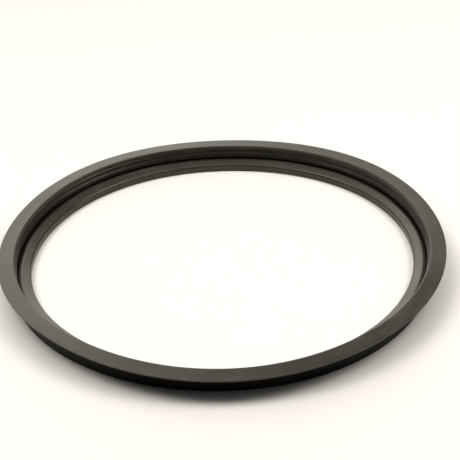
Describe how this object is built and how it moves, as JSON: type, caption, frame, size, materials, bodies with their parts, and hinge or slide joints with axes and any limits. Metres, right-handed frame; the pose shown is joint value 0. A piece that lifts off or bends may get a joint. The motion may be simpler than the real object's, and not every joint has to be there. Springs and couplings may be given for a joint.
{
  "type": "pressure cooker lid gasket",
  "caption": "Black rubber sealing ring for a stovetop pressure cooker lid: outward top flange, leaning ribbed web and inward bottom lip.",
  "frame": {"origin": "centre of the bottom face, on the ring's axis", "axes": "+Z along the ring's axis, from the lip side up to the flange side; the ring is round, so X and Y are free"},
  "size_m": [0.24, 0.24, 0.013],
  "materials": {
    "rubber": "satin"
  },
  "bodies": {
    "root": {"sealing_ring": "rubber"}
  },
  "joints": []
}
